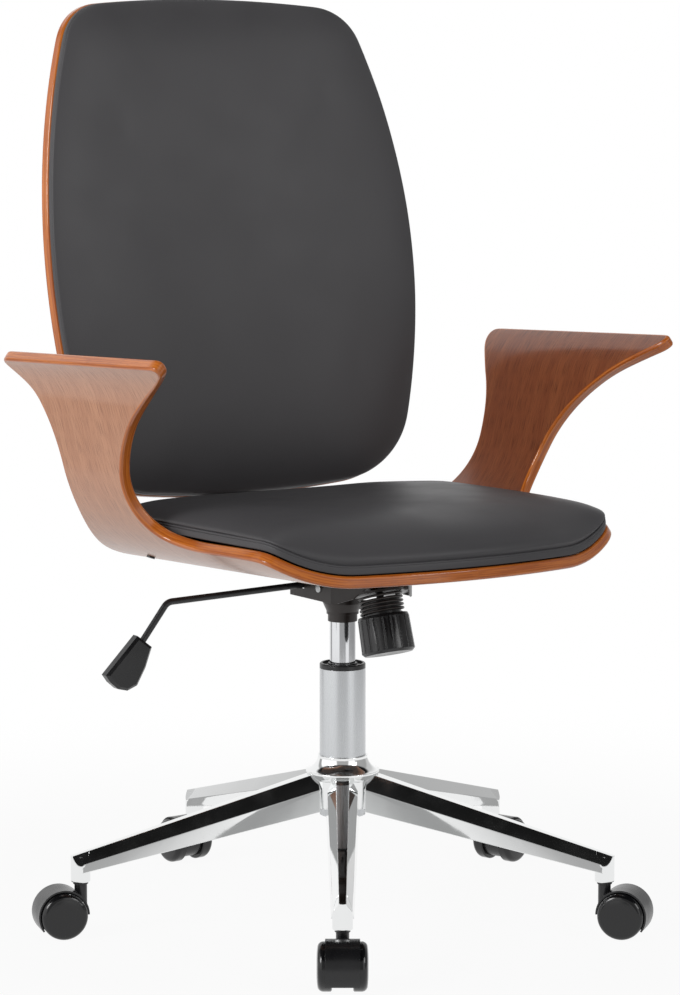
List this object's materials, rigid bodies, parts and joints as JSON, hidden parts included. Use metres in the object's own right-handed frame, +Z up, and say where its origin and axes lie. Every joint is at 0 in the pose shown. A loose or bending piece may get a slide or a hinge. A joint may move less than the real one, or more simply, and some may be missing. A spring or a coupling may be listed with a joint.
{
  "type": "office chair",
  "caption": "Office chair with a bent plywood seat and arms, padded seat and back, gas lift, tilt mechanism and a star base on twin-wheel casters.",
  "frame": {"origin": "on the floor, on the axis of the column", "axes": "+Z up, the sitter faces -Y, +X is to the sitter's left, the release lever is on -X"},
  "size_m": [0.6629, 0.6411, 1.0008],
  "materials": {
    "chrome_base": "bright chrome plate on pressed steel",
    "satin_column": "satin nickel plate",
    "polished_rod": "ground and polished steel",
    "plain_steel": "zinc plated steel",
    "dark_mechanism": "dark brown-black powder coat",
    "black_screws": "black oxide",
    "black_plastic": "moulded nylon, soft sheen",
    "caster_tread": "moulded nylon, semi-gloss",
    "black_rubber": "moulded rubber",
    "bent_ply": "walnut veneer with gloss lacquer, orange-brown edges",
    "upholstery": "coated fabric that looks like leather, over foam"
  },
  "bodies": {
    "base": {"base_hub": "chrome_base", "base_leg_1": "chrome_base", "base_leg_2": "chrome_base", "base_leg_3": "chrome_base", "base_leg_4": "chrome_base", "base_leg_5": "chrome_base", "column_tube": "satin_column", "guide_bush": "black_plastic", "thrust_bearing": "plain_steel"},
    "spindle": {"piston_rod": "polished_rod", "rod_clip": "plain_steel", "rod_bumper": "black_rubber"},
    "lift": {"gas_cylinder": "polished_rod", "taper_sleeve": "dark_mechanism", "tilt_housing": "dark_mechanism", "tilt_pivot_pin": "plain_steel", "tension_spring": "dark_mechanism"},
    "valve": {"release_pin": "plain_steel"},
    "lever_pivot": {"lever_block": "dark_mechanism"},
    "lever": {"lever_rod": "plain_steel", "lever_handle": "black_plastic"},
    "bolt": {"tension_bolt": "plain_steel", "hook_pin": "plain_steel"},
    "knob": {"tension_knob": "black_plastic"},
    "seat": {"seat_plate": "dark_mechanism", "spring_saddle": "dark_mechanism", "seat_shell": "bent_ply", "seat_cushion": "upholstery", "seat_bolts": "black_screws", "cushion_screws": "black_screws", "tee_nuts": "plain_steel", "back_bracket": "dark_mechanism", "back_bolts": "black_screws", "back_shell": "bent_ply", "back_cushion": "upholstery"},
    "caster_1": {"caster_stem_1": "plain_steel", "caster_hood_1": "black_plastic", "caster_axle_1": "plain_steel"},
    "wheel_left_1": {"caster_wheel_left_1": "caster_tread"},
    "wheel_right_1": {"caster_wheel_right_1": "caster_tread"},
    "caster_2": {"caster_stem_2": "plain_steel", "caster_hood_2": "black_plastic", "caster_axle_2": "plain_steel"},
    "wheel_left_2": {"caster_wheel_left_2": "caster_tread"},
    "wheel_right_2": {"caster_wheel_right_2": "caster_tread"},
    "caster_3": {"caster_stem_3": "plain_steel", "caster_hood_3": "black_plastic", "caster_axle_3": "plain_steel"},
    "wheel_left_3": {"caster_wheel_left_3": "caster_tread"},
    "wheel_right_3": {"caster_wheel_right_3": "caster_tread"},
    "caster_4": {"caster_stem_4": "plain_steel", "caster_hood_4": "black_plastic", "caster_axle_4": "plain_steel"},
    "wheel_left_4": {"caster_wheel_left_4": "caster_tread"},
    "wheel_right_4": {"caster_wheel_right_4": "caster_tread"},
    "caster_5": {"caster_stem_5": "plain_steel", "caster_hood_5": "black_plastic", "caster_axle_5": "plain_steel"},
    "wheel_left_5": {"caster_wheel_left_5": "caster_tread"},
    "wheel_right_5": {"caster_wheel_right_5": "caster_tread"}
  },
  "joints": [
    {"name": "seat_swivel", "type": "hinge", "parent": "base", "child": "spindle", "pos_m": [0, 0, 0.1229], "axis": [0, 0, 1], "continuous": true},
    {"name": "height_lift", "type": "slide", "parent": "spindle", "child": "lift", "axis": [0, 0, 1], "range_m": [0, 0.08]},
    {"name": "valve_press", "type": "slide", "parent": "lift", "child": "valve", "axis": [0, 0, 1], "range_m": [-0.002, 0]},
    {"name": "lever_lift", "type": "hinge", "parent": "lift", "child": "lever_pivot", "pos_m": [-0.03, 0, 0.3685], "axis": [0, 1, 0], "range_deg": [0, 3.5]},
    {"name": "lever_pull", "type": "slide", "parent": "lever_pivot", "child": "lever", "axis": [-0.9996, 0, -0.0297], "range_m": [0, 0.012]},
    {"name": "seat_tilt", "type": "hinge", "parent": "lift", "child": "seat", "pos_m": [0, -0.035, 0.3684], "axis": [-1, 0, 0], "range_deg": [0, 10], "stiffness_Nm_per_rad": 150, "springref_deg": -17.19, "deforming": ["tension_spring"]},
    {"name": "bolt_pull", "type": "slide", "parent": "lift", "child": "bolt", "axis": [0, 0.279, 0.9603], "range_m": [0, 0.0062]},
    {"name": "knob_turn", "type": "hinge", "parent": "bolt", "child": "knob", "pos_m": [0, -0.0789, 0.3404], "axis": [0, 0.279, 0.9603], "continuous": true},
    {"name": "caster_swivel_1", "type": "hinge", "parent": "base", "child": "caster_1", "pos_m": [-0.15996, -0.24632, 0.055], "axis": [0, 0, 1], "continuous": true},
    {"name": "wheel_spin_left_1", "type": "hinge", "parent": "caster_1", "child": "wheel_left_1", "pos_m": [-0.17194, -0.26477, 0.025], "axis": [0.8387, -0.5446, 0], "continuous": true},
    {"name": "wheel_spin_right_1", "type": "hinge", "parent": "caster_1", "child": "wheel_right_1", "pos_m": [-0.17194, -0.26477, 0.025], "axis": [0.8387, -0.5446, 0], "continuous": true},
    {"name": "caster_swivel_2", "type": "hinge", "parent": "base", "child": "caster_2", "pos_m": [0.18483, -0.22825, 0.055], "axis": [0, 0, 1], "continuous": true},
    {"name": "wheel_spin_left_2", "type": "hinge", "parent": "caster_2", "child": "wheel_left_2", "pos_m": [0.19868, -0.24535, 0.025], "axis": [0.7771, 0.6293, 0], "continuous": true},
    {"name": "wheel_spin_right_2", "type": "hinge", "parent": "caster_2", "child": "wheel_right_2", "pos_m": [0.19868, -0.24535, 0.025], "axis": [0.7771, 0.6293, 0], "continuous": true},
    {"name": "caster_swivel_3", "type": "hinge", "parent": "base", "child": "caster_3", "pos_m": [0.27419, 0.10525, 0.055], "axis": [0, 0, 1], "continuous": true},
    {"name": "wheel_spin_left_3", "type": "hinge", "parent": "caster_3", "child": "wheel_left_3", "pos_m": [0.29473, 0.11314, 0.025], "axis": [-0.3584, 0.9336, 0], "continuous": true},
    {"name": "wheel_spin_right_3", "type": "hinge", "parent": "caster_3", "child": "wheel_right_3", "pos_m": [0.29473, 0.11314, 0.025], "axis": [-0.3584, 0.9336, 0], "continuous": true},
    {"name": "caster_swivel_4", "type": "hinge", "parent": "base", "child": "caster_4", "pos_m": [-0.01537, 0.2933, 0.055], "axis": [0, 0, 1], "continuous": true},
    {"name": "wheel_spin_left_4", "type": "hinge", "parent": "caster_4", "child": "wheel_left_4", "pos_m": [-0.01652, 0.31527, 0.025], "axis": [-0.9986, -0.0523, 0], "continuous": true},
    {"name": "wheel_spin_right_4", "type": "hinge", "parent": "caster_4", "child": "wheel_right_4", "pos_m": [-0.01652, 0.31527, 0.025], "axis": [-0.9986, -0.0523, 0], "continuous": true},
    {"name": "caster_swivel_5", "type": "hinge", "parent": "base", "child": "caster_5", "pos_m": [-0.28369, 0.07601, 0.055], "axis": [0, 0, 1], "continuous": true},
    {"name": "wheel_spin_left_5", "type": "hinge", "parent": "caster_5", "child": "wheel_left_5", "pos_m": [-0.30494, 0.08171, 0.025], "axis": [-0.2588, -0.9659, 0], "continuous": true},
    {"name": "wheel_spin_right_5", "type": "hinge", "parent": "caster_5", "child": "wheel_right_5", "pos_m": [-0.30494, 0.08171, 0.025], "axis": [-0.2588, -0.9659, 0], "continuous": true}
  ],
  "couplings": [
    {"joint": "valve_press", "follows": "lever_lift", "m_per_rad": -0.03},
    {"joint": "bolt_pull", "follows": "seat_tilt", "m_per_rad": 0.0343}
  ]
}
